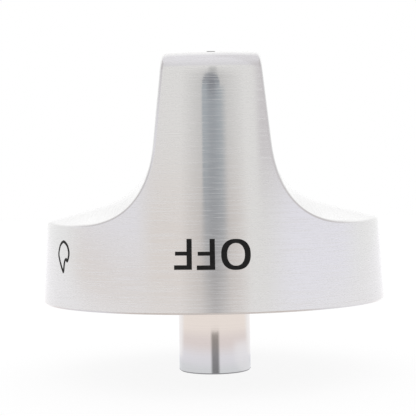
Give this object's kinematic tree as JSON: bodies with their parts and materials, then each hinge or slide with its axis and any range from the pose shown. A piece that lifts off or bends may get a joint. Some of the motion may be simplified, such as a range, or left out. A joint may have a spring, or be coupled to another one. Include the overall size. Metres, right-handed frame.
{
  "type": "range burner knob",
  "caption": "Brushed metal range burner knob: tapered round skirt, tall bar grip across it, and a polished stem with a D-shaped bore for the valve shaft.",
  "frame": {"origin": "centre of the stem's lower end face, on the knob's turning axis", "axes": "+Z along the turning axis from the stem to the top of the grip, -Y towards the end of the grip that carries the OFF mark"},
  "size_m": [0.066, 0.066, 0.0586],
  "materials": {
    "brushed_body": "fine brushed",
    "polished_stem": "polished",
    "spring_steel": "satin",
    "black_mark": "printed, satin"
  },
  "bodies": {
    "root": {"knob_body": "brushed_body", "stem": "polished_stem", "shaft_spring": "spring_steel"}
  },
  "joints": []
}
